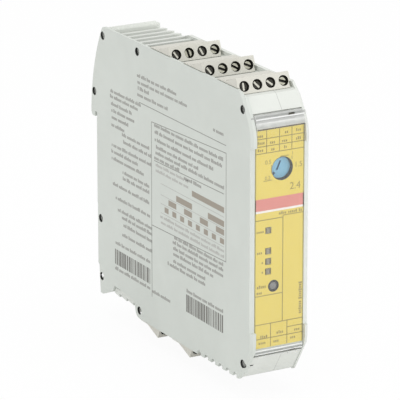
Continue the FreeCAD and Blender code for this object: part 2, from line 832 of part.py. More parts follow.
def board_connector():
    """Socket strip that joins the two boards."""
    y = front_board_y + board_thick
    low, high = connector_zs
    body = on_board(5.0, y, y + 7.0, low, high)
    return body.cut(box(board_x - 3.4, board_x - 1.6, y + 2.0, y + 8.0, low + 1.0, high - 1.0))


def safety_relay(index):
    """Slim relay lying flat along the board, with a moulded base step."""
    z = relay_low_z + index * relay_pitch
    case = on_board(relay_height, relay_front_y, relay_back_y, z, z + relay_thick)
    step = box(board_x - 2.0, board_x + 1, relay_front_y - 1, relay_front_y + 0.6, z - 1, z + relay_thick + 1)
    return case.cut(step)


def heat_sink():
    """Finned aluminium extrusion for the power switches."""
    y0, y1 = sink_y
    z0, z1 = sink_z
    base = on_board(sink_base, y0, y1, z0, z1)
    count = int((y1 - y0 - fin_thick) / fin_pitch) + 1
    starts = [y0 + i * fin_pitch for i in range(count)]
    fins = [on_board(fin_height, y, y + fin_thick, z0, z1) for y in starts]
    return join([base] + fins)


def power_switches():
    """Two thyristor modules clamped to the end of the heat sink."""
    y = sink_y[0]
    low, high = sink_z
    case = (high - low - 2 * power_case_gap) / 2
    starts = [low + power_case_gap / 2, high - power_case_gap / 2 - case]
    cases = [on_board(fin_height - 2.0, y - power_case_depth, y, z, z + case) for z in starts]
    return Part.makeCompound(cases)


def current_transformer(index):
    """Moulded current transformer round the bore for one motor lead."""
    y = relay_back_y + 2.0 + transformer_r + index * transformer_pitch
    r = transformer_r
    x = board_x - r - 1.0
    case = on_board(2 * r + 1.0, y - r, y + r, transformer_z, transformer_z + transformer_height)
    bore = small_rod(vec(x, y, transformer_z - 1), vec(0, 0, 1), transformer_bore_r, transformer_height + 2)
    return case.cut(bore)


def supply_transformer():
    """Frame core with its window."""
    low, high = supply_zs
    core = on_board(fin_height + 0.5, supply_front_y, supply_back_y, low, high)
    window = box(board_x - 14.5, board_x - 10.5, supply_front_y + 3.0, supply_back_y - 3.0, low - 1, high + 1)
    return core.cut(window)


def capacitors():
    y = board_back_y - can_margin
    return Part.makeCompound([small_rod(vec(board_x, y, z), vec(-1, 0, 0), can_r, can_length) for z in can_zs])


def snubber_capacitors():
    """Film capacitors across the power switches."""
    length, across = film_case
    low = transformer_z + transformer_height + 5.0
    starts = [sink_y[0] + 10.0 + i * film_pitch for i in range(3)]
    return Part.makeCompound([on_board(11.0, y, y + length, low, low + across) for y in starts])


def controllers():
    """The two processors of the safety channels."""
    y = relay_front_y + 4.0
    low = header_low_z - 22.1
    starts = [low, low + chip_pitch]
    return Part.makeCompound([on_board(chip_thick, y, y + chip_side + 1.0, z, z + chip_side) for z in starts])


# Rail latch -----------------------------------------------------------------

def rail_latch():
    """Sprung foot: a lip behind the rail's lower edge, a neck in the channel and a screwdriver slot."""
    top = -latch_top_below_seat
    w = latch_width / 2
    lip_y = rail_lip + lip_room
    neck = slab([(-latch_neck, top), (lip_y, top), (lip_y, top + 1.2), (hook_depth - 1.6, top + 1.2),
                 (hook_depth - 0.3, top - 1.4), (1.6, top - 6.0), (-0.2, top - 8.0), (-0.2, latch_bottom_z),
                 (-latch_neck, latch_bottom_z)], -w, w)
    foot = box(-latch_foot_width / 2, latch_foot_width / 2, -latch_neck - latch_foot_thick, -latch_neck,
               latch_bottom_z, top)
    slot = box(-2.5, 2.5, -3.0, -1.8, latch_bottom_z - 1, latch_bottom_z + 4.0)
    return join([neck, foot]).cut(slot)


def latch_spring():
    """Flat meander spring that pulls the latch up against the rail."""
    low = -latch_top_below_seat
    y0 = -latch_neck - latch_foot_thick + 0.3
    y1 = y0 + 0.8
    turns = 5
    step = (spring_length - 0.6) / turns
    strips = []
    for i in range(turns):
        z = low + i * step
        side = 1 if i % 2 else -1
        strips.append(box(-3.5, 3.5, y0, y1, z, z + 0.5))
        strips.append(box(side * 3.5 - 0.25, side * 3.5 + 0.25, y0, y1, z, z + step + 0.5))
    strips.append(box(-3.5, 3.5, y0, y1, low + turns * step, low + turns * step + 0.5))
    return join(strips)


# Assembly -------------------------------------------------------------------

def all_nodes():
    nodes = {
        "housing_tub": housing_tub(),
        "side_cover": side_cover(),
        "front_panel": front_panel(),
        "front_label": front_label(),
        "clear_cover": clear_cover(),
        "setting_knob": setting_knob(),
        "potentiometer": potentiometer(),
        "potentiometer_shaft": potentiometer_shaft(),
        "reset_button": reset_button(),
        "reset_switch": reset_switch(),
        "light_pipes": light_pipes(),
        "status_lamps": lamps(),
        "terminal_screws": for_each_pole(terminal_screw),
        "clamp_cages": for_each_pole(clamp_cage),
        "main_board": main_board(),
        "front_board": front_board(),
        "board_connector": board_connector(),
        "heat_sink": heat_sink(),
        "power_switches": power_switches(),
        "supply_transformer": supply_transformer(),
        "capacitors": capacitors(),
        "snubber_capacitors": snubber_capacitors(),
        "controllers": controllers(),
        "rail_latch": rail_latch(),
        "latch_spring": latch_spring(),
    }
    counts = {1: 0, -1: 0}
    for peak, side in block_peaks():
        counts[side] += 1
        place = "top" if side > 0 else "bottom"
        nodes[place + "_terminal_" + str(counts[side])] = on_side(terminal_block(peak), side)
        nodes[place + "_header_" + str(counts[side])] = plug_header(peak, side)
    for i in range(3):
        nodes["safety_relay_" + str(i + 1)] = safety_relay(i)
        nodes["current_transformer_" + str(i + 1)] = current_transformer(i)
    return nodes


os.makedirs("parts", exist_ok=True)
nodes = all_nodes()
for name, shape in nodes.items():
    shape.exportStep("parts/" + name + ".step")
print("wrote", len(nodes), "nodes")
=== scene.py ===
import math
import random
import bpy
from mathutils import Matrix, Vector


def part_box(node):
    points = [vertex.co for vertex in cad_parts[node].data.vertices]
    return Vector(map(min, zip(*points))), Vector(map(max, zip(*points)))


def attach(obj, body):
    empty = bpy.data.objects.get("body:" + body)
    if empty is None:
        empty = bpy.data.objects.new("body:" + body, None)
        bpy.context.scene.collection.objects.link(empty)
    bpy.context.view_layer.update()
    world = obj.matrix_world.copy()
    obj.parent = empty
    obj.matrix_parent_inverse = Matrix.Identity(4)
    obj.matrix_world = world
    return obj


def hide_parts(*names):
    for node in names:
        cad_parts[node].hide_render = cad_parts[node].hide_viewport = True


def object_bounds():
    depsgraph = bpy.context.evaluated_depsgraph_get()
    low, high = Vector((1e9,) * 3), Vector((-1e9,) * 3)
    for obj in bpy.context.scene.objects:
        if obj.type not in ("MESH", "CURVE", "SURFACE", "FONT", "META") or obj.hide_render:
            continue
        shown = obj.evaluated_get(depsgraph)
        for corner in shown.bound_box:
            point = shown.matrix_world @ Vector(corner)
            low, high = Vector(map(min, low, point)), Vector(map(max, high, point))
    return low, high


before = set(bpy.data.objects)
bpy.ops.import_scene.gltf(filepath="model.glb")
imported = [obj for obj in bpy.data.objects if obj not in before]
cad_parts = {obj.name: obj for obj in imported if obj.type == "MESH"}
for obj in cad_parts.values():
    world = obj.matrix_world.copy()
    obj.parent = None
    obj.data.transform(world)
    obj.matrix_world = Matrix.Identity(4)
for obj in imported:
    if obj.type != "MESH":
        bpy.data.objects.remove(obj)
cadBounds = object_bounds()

mm = 0.001
print("frame loaded with", len(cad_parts), "nodes")


# selecting and finishing

def clearSelection():
    if bpy.context.object and bpy.context.object.mode != "OBJECT":
        bpy.ops.object.mode_set(mode="OBJECT")
    bpy.ops.object.select_all(action="DESELECT")


def pick(piece):
    clearSelection()
    piece.select_set(True)
    bpy.context.view_layer.objects.active = piece


def settle(piece):
    # the place goes into the mesh, so the object sits at the origin
    pick(piece)
    bpy.ops.object.transform_apply(location=True, rotation=True, scale=True)


def selectWhere(piece, kind, test):
    # goes into edit mode with only the vertices or faces that pass the test selected
    pick(piece)
    bpy.ops.object.mode_set(mode="EDIT")
    bpy.ops.mesh.select_mode(type=kind)
    bpy.ops.mesh.select_all(action="DESELECT")
    bpy.ops.object.mode_set(mode="OBJECT")
    for part in piece.data.vertices if kind == "VERT" else piece.data.polygons:
        part.select = test(part)
    bpy.ops.object.mode_set(mode="EDIT")


# "facing" is the cosine from which a face counts as looking one way
finish = {"bevelFrom": 32, "smoothBelow": 35, "mergeGap": 0.002, "flatBelow": 0.6, "facing": 0.9}


def bevelEdges(piece, width, segments=2, angle=finish["bevelFrom"]):
    pick(piece)
    edge = piece.modifiers.new("edge", "BEVEL")
    edge.width = width * mm
    edge.segments = segments
    edge.limit_method = "ANGLE"
    edge.angle_limit = math.radians(angle)
    edge.miter_outer = "MITER_ARC"
    bpy.ops.object.modifier_apply(modifier=edge.name)
    bpy.ops.object.shade_smooth_by_angle(angle=math.radians(finish["smoothBelow"]))
    flat = piece.modifiers.new("flat", "WEIGHTED_NORMAL")
    flat.mode = "FACE_AREA"
    flat.weight = 100
    flat.keep_sharp = True
    bpy.ops.object.modifier_apply(modifier=flat.name)


def softCopy(nodeName, pieceName, width, body, segments=2, reshape=None):
    # the moulded form of the node with its edges broken
    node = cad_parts[nodeName]
    piece = bpy.data.objects.new(pieceName, node.data.copy())
    bpy.context.scene.collection.objects.link(piece)
    pick(piece)
    bpy.ops.object.mode_set(mode="EDIT")
    bpy.ops.mesh.select_all(action="SELECT")
    bpy.ops.mesh.remove_doubles(threshold=finish["mergeGap"] * mm)
    bpy.ops.mesh.dissolve_limited(angle_limit=math.radians(finish["flatBelow"]),
                                  use_dissolve_boundaries=False)
    bpy.ops.mesh.customdata_custom_splitnormals_clear()
    bpy.ops.object.mode_set(mode="OBJECT")
    if reshape:
        reshape(piece)
    bevelEdges(piece, width, segments)
    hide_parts(nodeName)
    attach(piece, body)
    return piece


def wear(piece, *looks):
    piece.data.materials.clear()
    for look in looks:
        piece.data.materials.append(look)


def give(piece, name, body, slot, *looks):
    piece.name = name
    wear(piece, *looks)
    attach(piece, body)
    return piece


def paintWhere(piece, index, test):
    # faces chosen by their middle and normal take another of the piece's materials
    pick(piece)
    for face in piece.data.polygons:
        if test(face.center / mm, face.normal):
            face.material_index = index


def moveWhere(piece, test, step):
    selectWhere(piece, "VERT", lambda vertex: test(vertex.co / mm))
    bpy.ops.transform.translate(value=[s * mm for s in step])
    bpy.ops.object.mode_set(mode="OBJECT")


def cutWith(piece, size, place, turn=0):
    # a block of that size, turned about the front-to-back axis, is taken away
    clearSelection()
    bpy.ops.mesh.primitive_cube_add(size=mm, location=(0, 0, 0), scale=size)
    blade = bpy.context.object
    settle(blade)
    pick(blade)
    blade.rotation_euler = (0, math.radians(turn), 0)
    blade.location = [p * mm for p in place]
    settle(blade)
    pick(piece)
    taken = piece.modifiers.new("taken", "BOOLEAN")
    taken.operation = "DIFFERENCE"
    taken.object = blade
    bpy.ops.object.modifier_apply(modifier=taken.name)
    bpy.data.objects.remove(blade)


def film(name, marks, facing, level, thick, body, slot, look):
    # printed marks, or painted strips of light and shade, (middle across, middle up, width, height), drawn
    # flat and then given the ink's thickness
    front = facing == "front"
    turn = (math.pi / 2, 0, 0) if front else (0, -math.pi / 2, 0)
    clearSelection()
    piece = None
    for across, up, width, high, *slant in marks:
        place = Vector((across, level, up) if front else (level, across, up)) * mm
        bpy.ops.mesh.primitive_plane_add(size=mm, location=place, rotation=turn)
        if piece is None:
            piece = bpy.context.object
            settle(piece)
            bpy.ops.object.mode_set(mode="EDIT")
        size = (width, 1, high) if front else (1, width, high)
        bpy.ops.transform.resize(value=size, center_override=place)
        if slant:
            bpy.ops.transform.rotate(value=math.radians(slant[0]), orient_axis="X", center_override=place)
    bpy.ops.object.mode_set(mode="OBJECT")
    ink = piece.modifiers.new("ink", "SOLIDIFY")
    ink.thickness = thick * mm
    ink.offset = 1
    bpy.ops.object.modifier_apply(modifier=ink.name)
    return give(piece, name, body, slot, look)


letters = {"gap": 0.24, "wordGap": 0.55, "lastRoom": 0.3, "word": (3, 9), "spread": (0.75, 1.15),
           "heights": (0.7, 0.7, 0.72, 1.0)}


def lettering(rows, seed, size=0.62):
    # rows of unreadable small print: (start, end, middle height, letter height)
    chance = random.Random(seed)
    marks = []
    for start, end, level, high in rows:
        at = start
        word = chance.randint(*letters["word"])
        while at < end - letters["lastRoom"]:
            width = size * chance.uniform(*letters["spread"])
            tall = high * chance.choice(letters["heights"])
            marks.append((at + width / 2, level - (high - tall) / 2, width, tall))
            at += width + letters["gap"]
            word -= 1
            if word == 0:
                at += letters["wordGap"]
                word = chance.randint(*letters["word"])
    return marks


# materials

def newMaterial(name):
    material = bpy.data.materials.new(name)
    material.use_nodes = True
    tree = material.node_tree
    tree.nodes.clear()
    output = tree.nodes.new("ShaderNodeOutputMaterial")
    shader = tree.nodes.new("ShaderNodeBsdfPrincipled")
    tree.links.new(shader.outputs["BSDF"], output.inputs["Surface"])
    return material, tree, shader


def noiseField(tree, scale, detail=3.0, stretch=(1, 1, 1)):
    place = tree.nodes.new("ShaderNodeTexCoord")
    turn = tree.nodes.new("ShaderNodeMapping")
    turn.inputs["Scale"].default_value = stretch
    field = tree.nodes.new("ShaderNodeTexNoise")
    field.inputs["Scale"].default_value = scale
    field.inputs["Detail"].default_value = detail
    tree.links.new(place.outputs["Object"], turn.inputs["Vector"])
    tree.links.new(turn.outputs["Vector"], field.inputs["Vector"])
    return field


def tintBetween(tree, field, dark, light, low=0.35, high=0.65):
    ramp = tree.nodes.new("ShaderNodeValToRGB")
    ramp.color_ramp.elements[0].position = low
    ramp.color_ramp.elements[0].color = (*dark, 1)
    ramp.color_ramp.elements[1].position = high
    ramp.color_ramp.elements[1].color = (*light, 1)
    tree.links.new(field.outputs["Fac"], ramp.inputs["Fac"])
    return ramp


def valueBetween(tree, field, low, high):
    span = tree.nodes.new("ShaderNodeMapRange")
    span.inputs["From Min"].default_value = 0.3
    span.inputs["From Max"].default_value = 0.7
    span.inputs["To Min"].default_value = low
    span.inputs["To Max"].default_value = high
    tree.links.new(field.outputs["Fac"], span.inputs["Value"])
    return span


def addGrain(tree, shader, field, strength, distance):
    bump = tree.nodes.new("ShaderNodeBump")
    bump.inputs["Strength"].default_value = strength
    bump.inputs["Distance"].default_value = distance * mm
    tree.links.new(field.outputs["Fac"], bump.inputs["Height"])
    tree.links.new(bump.outputs["Normal"], shader.inputs["Normal"])


noises = {"cloud": 60, "gloss": 220, "spark": 5200, "sparkDeep": 0.02, "metal": 900, "metalGloss": 1500,
          "turning": 3000, "turningGrain": 0.15, "turningDeep": 0.01, "metalShade": 0.8,
          "ink": 2400, "inkUnder": 0.75, "inkRough": (0.4, 0.6), "clear": 400, "clearShade": 0.97}


def mouldedPlastic(name, color, rough=(0.42, 0.55), grain=0.25, shift=0.02, specular=0.4):
    # slightly cloudy colour, spark-eroded grain and uneven gloss
    material, tree, shader = newMaterial(name)
    dark = [c * (1 - shift) for c in color]
    light = [min(1.0, c * (1 + shift)) for c in color]
    cloud = noiseField(tree, noises["cloud"], 4)
    tint = tintBetween(tree, cloud, dark, light)
    tree.links.new(tint.outputs["Color"], shader.inputs["Base Color"])
    gloss = valueBetween(tree, noiseField(tree, noises["gloss"], 2), *rough)
    tree.links.new(gloss.outputs["Result"], shader.inputs["Roughness"])
    shader.inputs["Specular IOR Level"].default_value = specular
    addGrain(tree, shader, noiseField(tree, noises["spark"], 3), grain, noises["sparkDeep"])
    return material


def turnedMetal(name, color, rough=(0.22, 0.4), stretch=(1, 1, 1)):
    material, tree, shader = newMaterial(name)
    shader.inputs["Metallic"].default_value = 1.0
    field = noiseField(tree, noises["metal"], 4, stretch)
    tint = tintBetween(tree, field, [c * noises["metalShade"] for c in color], color)
    tree.links.new(tint.outputs["Color"], shader.inputs["Base Color"])
    gloss = valueBetween(tree, noiseField(tree, noises["metalGloss"], 3, stretch), *rough)
    tree.links.new(gloss.outputs["Result"], shader.inputs["Roughness"])
    lathe = noiseField(tree, noises["turning"], 3, stretch)
    addGrain(tree, shader, lathe, noises["turningGrain"], noises["turningDeep"])
    return material


def printedInk(name, color, cover=0.85):
    # ink that lets a little of what it is printed on through
    material, tree, shader = newMaterial(name)
    field = noiseField(tree, noises["ink"], 2)
    lighter = [c + (noises["inkUnder"] - c) * (1 - cover) for c in color]
    tint = tintBetween(tree, field, color, lighter)
    tree.links.new(tint.outputs["Color"], shader.inputs["Base Color"])
    gloss = valueBetween(tree, field, *noises["inkRough"])
    tree.links.new(gloss.outputs["Result"], shader.inputs["Roughness"])
    return material


def clearPlastic(name, tint, rough, haze):
    material, tree, shader = newMaterial(name)
    field = noiseField(tree, noises["clear"], 2)
    gloss = valueBetween(tree, field, rough, rough + 0.05)
    tree.links.new(gloss.outputs["Result"], shader.inputs["Roughness"])
    colour = tintBetween(tree, field, [c * noises["clearShade"] for c in tint], tint)
    tree.links.new(colour.outputs["Color"], shader.inputs["Base Color"])
    see = valueBetween(tree, field, haze, haze * 1.15)
    tree.links.new(see.outputs["Result"], shader.inputs["Alpha"])
    return material


housingLook = {"color": (0.60, 0.63, 0.59), "rough": (0.45, 0.6)}
housingGrey = mouldedPlastic("housing_grey", housingLook["color"], housingLook["rough"])
tubGrey = mouldedPlastic("tub_grey", (0.67, 0.69, 0.65), housingLook["rough"])
seamPaintedShade = mouldedPlastic("seam_painted_shade", (0.50, 0.515, 0.485), housingLook["rough"])
terminalCream = mouldedPlastic("terminal_cream", (0.60, 0.59, 0.53), (0.4, 0.55))
labelYellow = mouldedPlastic("label_yellow", (0.70, 0.56, 0.09), (0.35, 0.45), 0.06, 0.015)
bandRed = mouldedPlastic("band_red", (0.645, 0.215, 0.18), (0.35, 0.45), 0.06)
bandWhite = mouldedPlastic("band_white", (0.78, 0.75, 0.71), (0.35, 0.45), 0.06)
knobBlue = mouldedPlastic("knob_blue", (0.197, 0.455, 0.62), (0.3, 0.42), 0.12)
knobGroovePaintedShade = mouldedPlastic("knob_groove_painted_shade", (0.07, 0.21, 0.38), (0.4, 0.5), 0.12)
buttonGrey = mouldedPlastic("button_grey", (0.17, 0.17, 0.17), (0.45, 0.6), 0.2)
buttonRimPaintedShade = mouldedPlastic("button_rim_painted_shade", (0.035, 0.033, 0.028), (0.45, 0.6), 0.2)
snapHolePaintedShade = mouldedPlastic("snap_hole_painted_shade", (0.035, 0.037, 0.034), (0.6, 0.75), 0.2)
wellPaintedShade = mouldedPlastic("well_painted_shade", (0.03, 0.028, 0.02), (0.6, 0.75), 0.2)
screwPaintedShade = mouldedPlastic("screw_painted_shade", (0.02, 0.018, 0.012), (0.5, 0.65), 0.2)
screwPaintedHighlight = mouldedPlastic("screw_slot_painted_highlight", (0.66, 0.65, 0.56), (0.25, 0.4), 0.1)
lensSmoke = mouldedPlastic("lens_smoke", (0.12, 0.10, 0.055), (0.12, 0.22), 0.05)
lensMiddle = mouldedPlastic("lens_middle", (0.26, 0.235, 0.17), (0.12, 0.22), 0.05)
lampWhite = mouldedPlastic("lamp_white", (0.62, 0.62, 0.55), (0.2, 0.3), 0.05)
blackCase = mouldedPlastic("black_case", (0.025, 0.025, 0.027), (0.4, 0.6))
paleCase = mouldedPlastic("pale_case", (0.55, 0.52, 0.44), (0.3, 0.45))
headerGreen = mouldedPlastic("header_green", (0.06, 0.12, 0.08), (0.4, 0.55))
filmYellow = mouldedPlastic("film_yellow", (0.45, 0.36, 0.07), (0.25, 0.4))
canSleeve = mouldedPlastic("can_sleeve", (0.03, 0.035, 0.06), (0.2, 0.35))
boardGreen = mouldedPlastic("board_green", (0.03, 0.14, 0.07), (0.2, 0.35), 0.3)
screwSteel = turnedMetal("screw_steel", (0.36, 0.355, 0.29))
clampSteel = turnedMetal("clamp_steel", (0.60, 0.60, 0.58), (0.3, 0.5))
springSteel = turnedMetal("spring_steel", (0.5, 0.5, 0.5), (0.2, 0.35), (1, 1, 8))
sinkAluminium = turnedMetal("sink_aluminium", (0.62, 0.63, 0.65), (0.3, 0.45), (1, 8, 1))
inkGrey = printedInk("ink_grey", (0.29, 0.285, 0.265), 0.97)
inkPale = printedInk("ink_pale", (0.42, 0.415, 0.39), 0.97)
inkLine = printedInk("ink_line", (0.22, 0.22, 0.20), 0.97)
inkChart = printedInk("ink_chart", (0.31, 0.275, 0.225), 0.97)
inkStripe = printedInk("ink_stripe", (0.16, 0.155, 0.14), 0.97)
inkBlack = printedInk("ink_black", (0.07, 0.055, 0.03), 0.97)
inkBrown = printedInk("ink_brown", (0.29, 0.225, 0.035), 0.98)
oliveEdgeAndShade = printedInk("olive_edge_line_and_shade", (0.36, 0.30, 0.05), 0.98)
coverClear = clearPlastic("cover_clear", (0.93, 0.95, 0.94), 0.06, 0.055)
coverFrost = clearPlastic("cover_frosted", (0.78, 0.79, 0.77), 0.3, 0.42)
coverPaintedHighlight = mouldedPlastic("cover_painted_highlight", (0.82, 0.83, 0.82), (0.2, 0.35), 0.05)
coverPaintedShade = mouldedPlastic("cover_painted_shade", (0.30, 0.31, 0.30), (0.2, 0.35), 0.05)
notchPaintedShade = mouldedPlastic("notch_painted_shade", (0.10, 0.095, 0.075), (0.3, 0.45), 0.05)

nodeLooks = {
    "potentiometer": blackCase, "potentiometer_shaft": screwSteel, "reset_switch": blackCase,
    "light_pipes": lensSmoke, "status_lamps": lampWhite, "clamp_cages": clampSteel,
    "terminal_screws": screwSteel, "main_board": boardGreen, "front_board": boardGreen,
    "board_connector": blackCase, "heat_sink": sinkAluminium, "power_switches": blackCase,
    "supply_transformer": blackCase, "capacitors": canSleeve, "snubber_capacitors": filmYellow,
    "controllers": blackCase, "rail_latch": housingGrey, "latch_spring": springSteel,
    "front_label": labelYellow, "front_panel": housingGrey, "clear_cover": coverClear,
    "setting_knob": knobBlue, "reset_button": buttonGrey, "housing_tub": tubGrey,
    "side_cover": housingGrey,
}
for name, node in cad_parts.items():
    look = nodeLooks.get(name)
    if "terminal_" in name and look is None:
        look = terminalCream
    if "header" in name:
        look = headerGreen
    if "safety_relay" in name:
        look = paleCase
    if "current_transformer" in name:
        look = blackCase
    wear(node, look)
print("materials made")


# places on the frame, in millimetres

def ends(node):
    low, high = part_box(node)
    return [v / mm for v in low], [v / mm for v in high]


coverLow, coverHigh = ends("side_cover")
frontY, topZ, sideX = coverLow[1], coverHigh[2], coverLow[0]
labelY = ends("front_label")[0][1]
knobLow, knobHigh = ends("setting_knob")
knobX, knobZ = (knobLow[0] + knobHigh[0]) / 2, (knobLow[2] + knobHigh[2]) / 2
buttonLow, buttonHigh = ends("reset_button")
buttonX, buttonZ = (buttonLow[0] + buttonHigh[0]) / 2, (buttonLow[2] + buttonHigh[2]) / 2


# housing

housing = {
    "edge": 0.25, "coverEdge": 0.3, "sunk": 0.03,
    "snapFloor": 1.0, "snapBore": (1.2, 1.56), "snapFrom": 0.25, "snapWall": 2.2, "snapDeep": 4.5,
    "seam": (1.88, 2.12), "seamBack": -98.6, "seamHeight": 43.0,
    "snapHoles": [(-4.9, 46.9), (-30.4, 47.0), (1.75, 25.1), (-103.4, 44.4),
                  (-2.4, -21.1), (-2.8, -42.9), (-31.1, -47.4), (-104.0, -44.2)],
}


def inSnapHole(middle, normal):
    # the round floor of a snap recess, or the outer part of its bore, which take a painted shade
    deep = middle[0] - sideX
    if not housing["snapFrom"] <= deep <= housing["snapDeep"]:
        return False
    boreLow, boreHigh = housing["snapBore"]
    for y, z in housing["snapHoles"]:
        away = Vector((0, middle[1] - y, middle[2] - z))
        onFloor = away.length < housing["snapFloor"] and normal[0] < -finish["facing"]
        inward = normal.dot(away) < -finish["facing"] * away.length and deep < housing["snapWall"]
        if onFloor or boreLow < away.length < boreHigh and inward:
            return True
    return False


def cutSeams(piece):
    # the two sides of the narrow mould seam on the front walls
    pick(piece)
    bpy.ops.object.mode_set(mode="EDIT")
    for x in housing["seam"]:
        bpy.ops.mesh.select_all(action="SELECT")
        bpy.ops.mesh.bisect(plane_co=(x * mm, 0, 0), plane_no=(1, 0, 0))
    bpy.ops.object.mode_set(mode="OBJECT")


# the faces between the two cuts take a painted shade that stands for the seam's groove
def onSeam(middle, normal):
    low, high = housing["seam"]
    onWall = middle[1] < housing["seamBack"] and abs(middle[2]) > housing["seamHeight"]
    return low < middle[0] < high and onWall


def sinkFace(piece):
    # the outer face lies deeper by the ink's thickness
    moveWhere(piece, lambda spot: spot[0] < sideX + 0.001, (housing["sunk"], 0, 0))


tub = softCopy("housing_tub", "housing_tub_moulding", housing["edge"], "housing",
               reshape=cutSeams)
wear(tub, tubGrey, snapHolePaintedShade, seamPaintedShade)
# the snap recesses of the tub take a painted shade
paintWhere(tub, 1, inSnapHole)
paintWhere(tub, 2, onSeam)
sideCover = softCopy("side_cover", "side_cover_moulding", housing["coverEdge"], "housing",
                     reshape=sinkFace)
wear(sideCover, housingGrey, snapHolePaintedShade)
# the snap recesses of the side cover take a painted shade
paintWhere(sideCover, 1, inSnapHole)
print("housing softened")


# terminal blocks and their screws

terminals = {"edge": 0.22, "tilt": 65.0, "faceHeight": 5.0, "screwDown": 3.0, "holeRadius": 1.85,
             "wellRoom": 0.06, "wellFrom": 0.18, "firstPole": 2.5, "pitch": 5.0, "poles": 4}
tilt = math.radians(terminals["tilt"])


def screwSpots(node):
    # middles of the screw holes on a block's sloped face
    low, high = ends(node)
    side = 1 if high[2] > 0 else -1
    peakZ = max(abs(low[2]), abs(high[2]))
    peakY = low[1] + terminals["faceHeight"] / math.tan(tilt)
    down = terminals["screwDown"]
    spots = []
    for i in range(terminals["poles"]):
        x = low[0] + terminals["firstPole"] + i * terminals["pitch"]
        spot = Vector((x, peakY - down * math.cos(tilt), side * (peakZ - down * math.sin(tilt))))
        spots.append((spot, side))
    return spots


def faceAxis(side):
    # out of a block's sloped face
    return Vector((0, -math.sin(tilt), side * math.cos(tilt)))


blockNames = ["top_terminal_" + str(i) for i in (1, 2, 3)] + ["bottom_terminal_" + str(i) for i in (1, 2)]
for node in blockNames:
    block = softCopy(node, node + "_moulding", terminals["edge"], "housing")
    wear(block, terminalCream, wellPaintedShade)
    spots = screwSpots(node)

    # the walls of the screw holes in the block take a painted shade
    def inWell(middle, normal):
        for spot, side in spots:
            axis = faceAxis(side)
            away = Vector(middle) - spot
            deep = -away.dot(axis)
            across = (away + axis * deep).length
            if across < terminals["holeRadius"] + terminals["wellRoom"] and deep > terminals["wellFrom"]:
                return True
        return False

    paintWhere(block, 1, inWell)
print("terminal blocks softened")

# a shining head has a shallow slot whose floor takes a painted highlight while its face takes a painted
# shade
screw = {"sides": 40, "radius": 1.32, "length": 1.3, "slotWidth": 0.85,
         "faceDeep": 0.2, "sideRoom": 0.02, "belowRoom": 0.1, "floorRoom": 0.04, "floorFacing": 0.7,
         "plain": {"slotDepth": 0.75, "edge": 0.14, "sunk": 0.9},
         "shining": {"slotDepth": 0.24, "edge": 0.05, "sunk": 0.45},
         "turns": [-4, 38, 48, 70, 30, 66, 58, 64, 28, 8, 20, 62, 15, 75, 40, 100, 55, 20, 85, 35],
         "shiningAt": (0, 1, 2, 4, 8, 10, 12, 14, 17)}


def screwHead(kind):
    # a turned head with its slot, upright at the origin
    clearSelection()
    bpy.ops.mesh.primitive_cylinder_add(vertices=screw["sides"], radius=screw["radius"] * mm,
                                        depth=screw["length"] * mm,
                                        location=(0, 0, -screw["length"] / 2 * mm))
    head = bpy.context.object
    settle(head)
    depth = screw[kind]["slotDepth"]
    cutWith(head, (screw["slotWidth"], screw["radius"] * 3, depth + 1), (0, 0, (1 - depth) / 2))
    bevelEdges(head, screw[kind]["edge"])
    wear(head, screwSteel, screwPaintedShade, screwPaintedHighlight)
    half = screw["slotWidth"] / 2 + screw["sideRoom"]
    low, face = -depth - screw["belowRoom"], -screw["faceDeep"]

    def onSlotFloor(middle, normal):
        return abs(middle[2] + depth) < screw["floorRoom"] and normal.z > screw["floorFacing"]

    # the walls and floor of the slot take a painted shade
    paintWhere(head, 1, lambda middle, normal: abs(middle[0]) < half and low < middle[2] < face)
    if kind == "shining":
        # the face takes a painted shade and the slot floor a painted highlight
        paintWhere(head, 1, lambda middle, normal: middle[2] > face)
        paintWhere(head, 2, onSlotFloor)
    return head


def seatHead(model, kind, turn, spot, side):
    # a copy is turned and then laid into its hole
    head = bpy.data.objects.new(model.name, model.data.copy())
    bpy.context.scene.collection.objects.link(head)
    pick(head)
    head.rotation_euler = (0, 0, math.radians(turn))
    settle(head)
    pick(head)
    head.rotation_euler = (tilt if side > 0 else math.pi - tilt, 0, 0)
    head.location = (spot - faceAxis(side) * screw[kind]["sunk"]) * mm
    settle(head)
    return head


models = {kind: screwHead(kind) for kind in ("plain", "shining")}
heads = []
for node in blockNames:
    for spot, side in screwSpots(node):
        kind = "shining" if len(heads) in screw["shiningAt"] else "plain"
        heads.append(seatHead(models[kind], kind, screw["turns"][len(heads)], spot, side))
for model in models.values():
    bpy.data.objects.remove(model)
pick(heads[0])
for head in heads:
    head.select_set(True)
bpy.ops.object.join()
screws = bpy.context.object
screws.name = "terminal_screw_heads"
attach(screws, "housing")
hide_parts("terminal_screws")
print("screws made")


# printed label

